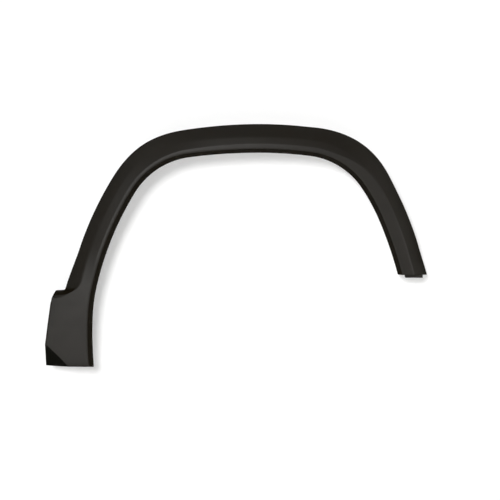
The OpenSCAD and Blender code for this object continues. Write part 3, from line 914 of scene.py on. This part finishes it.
# Undyed nylon as it comes from the mould: a warm white with a mild gloss
natural_nylon, _, _ = uneven_finish("natural_nylon", "#d9d5c6", 0.42, 1.53, patch=0.008, tone=0.04)
push_clips = turned("push_clips", clip_sites, np.array(clip_rows), (natural_nylon,), 0)
split_half = 0.45
split_past = 5
split_start, split_end = 1.6, 16
splits = []
for s, d in clip_sites:
    saw_cut = np.array(box(-split_half, split_half, d - split_past, d + split_past))
    splits.append((at_site(s, saw_cut, -split_start), at_site(s, saw_cut, -split_end)))
moulded(push_clips, [prisms("splits", splits, (natural_nylon,), 0)], "DIFFERENCE")
push_clips.data.shade_smooth()
push_clips.data.set_sharp_from_angle(angle=np.radians(40))
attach(push_clips, "root")
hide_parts("retaining_clips")


# Backdrop and floor: a white paper wall that hangs close behind the trim and takes its soft
# shadow, and a pale painted floor below the picture. Sizes from here on are metres.

wall_y = 0.078
wall_top = 2.6
floor_z = -2.0
floor_front = -5
half_width = 4


def sheet(name, corners, material):
    """Flat piece of the stage through four corners."""
    mesh = bpy.data.meshes.new(name)
    mesh.from_pydata(corners, [], [(0, 1, 2, 3)])
    mesh.materials.append(material)
    made = bpy.data.objects.new(name, mesh)
    bpy.context.scene.collection.objects.link(made)


def light_paper(name, colour, lift):
    """Matt paper that shows brighter by a lift to camera, glossy and transmission rays, and that
    can be looked through from behind."""
    paper, shader, _ = uneven_finish(name, colour, 0.9, 1.45, tone=0.0)
    links = paper.node_tree.links
    path = add_node(paper, "ShaderNodeLightPath")
    seen = path.outputs["Is Camera Ray"]
    for other in ("Is Glossy Ray", "Is Transmission Ray"):
        seen = add_node(paper, "ShaderNodeMath", {}, {0: seen, 1: path.outputs[other]},
                        operation="MAXIMUM").outputs[0]
    strength = add_node(paper, "ShaderNodeMath", {1: lift}, {0: seen}, operation="MULTIPLY")
    shader.inputs["Emission Color"].default_value = (1, 1, 1, 1)
    links.new(strength.outputs[0], shader.inputs["Emission Strength"])
    clear = add_node(paper, "ShaderNodeBsdfTransparent")
    facing = add_node(paper, "ShaderNodeNewGeometry")
    mix = add_node(paper, "ShaderNodeMixShader", {}, {
        0: facing.outputs["Backfacing"], 1: shader.outputs[0], 2: clear.outputs[0]})
    links.new(mix.outputs[0], paper.node_tree.nodes["Material Output"].inputs["Surface"])
    return paper


# White paper without gloss, which takes the shadow, and pale floor paint with a faint mottle
wall_paper = light_paper("white_backdrop_paper", "#fbfbfb", 0.05)
floor_paint, _, _ = uneven_finish("pale_studio_floor", "#e8e8e6", 0.8, 1.45, patch=0.4, tone=0.02)
sheet("backdrop", [(-half_width, wall_y, floor_z), (half_width, wall_y, floor_z),
                   (half_width, wall_y, wall_top), (-half_width, wall_y, wall_top)], wall_paper)
sheet("floor", [(-half_width, floor_front, floor_z), (half_width, floor_front, floor_z),
                (half_width, wall_y, floor_z), (-half_width, wall_y, floor_z)], floor_paint)


# Camera and studio light: a long lens 2.2 m in front of the trim, which shows 2.5 mm in a pixel.
# Only the key lamp casts a shadow. The four small lamps in front give single faces the soft sheen
# that the photograph shows on them, and the one behind lights the hidden side.

scene = bpy.context.scene
camera_data = bpy.data.cameras.new("camera")
camera_data.lens = 63.36
camera_data.sensor_width = 36
camera = bpy.data.objects.new("camera", camera_data)
camera.location = (-0.0225, -2.2, -0.285)
camera.rotation_euler = (np.pi / 2, 0, 0)
scene.collection.objects.link(camera)
scene.camera = camera
scene.view_settings.view_transform = "Standard"
trim_middle = np.array((-0.03, 0, -0.28))
room_light = 0.09


def softbox(name, place, size, power, shadow=False):
    """Soft light of a width and height at a place, turned to the middle of the trim: tilted from
    straight down by atan2(level distance, drop), and turned round by atan2(-x, y)."""
    data = bpy.data.lights.new(name, "AREA")
    data.shape = "ELLIPSE"
    data.size, data.size_y = size
    data.energy = power
    data.use_shadow = shadow
    lamp = bpy.data.objects.new(name, data)
    lamp.location = place
    x, y, z = trim_middle - place
    lamp.rotation_euler = (np.arctan2(np.hypot(x, y), -z), 0, np.arctan2(-x, y))
    scene.collection.objects.link(lamp)


softbox("key", (-1.45, -5.6, 1.15), (1.8, 1.8), 200, shadow=True)
softbox("foot_light", (-1.12, -2.35, -0.6), (0.4, 0.4), 9)
softbox("crown_light", (0.02, -2.45, 0.3), (0.7, 0.25), 3)
softbox("front_leg_light", (1.7, -2.0, -0.2), (0.6, 1.0), 9)
softbox("front_side_light", (2.9, -1.1, -0.15), (0.8, 1.2), 19)
softbox("back_light", (0.9, 3.0, 0.9), (1.5, 1.5), 60)

world = bpy.data.worlds.new("room")
scene.world = world
world.use_nodes = True
world.node_tree.nodes["Background"].inputs["Color"].default_value = (1, 1, 1, 1)
world.node_tree.nodes["Background"].inputs["Strength"].default_value = room_light
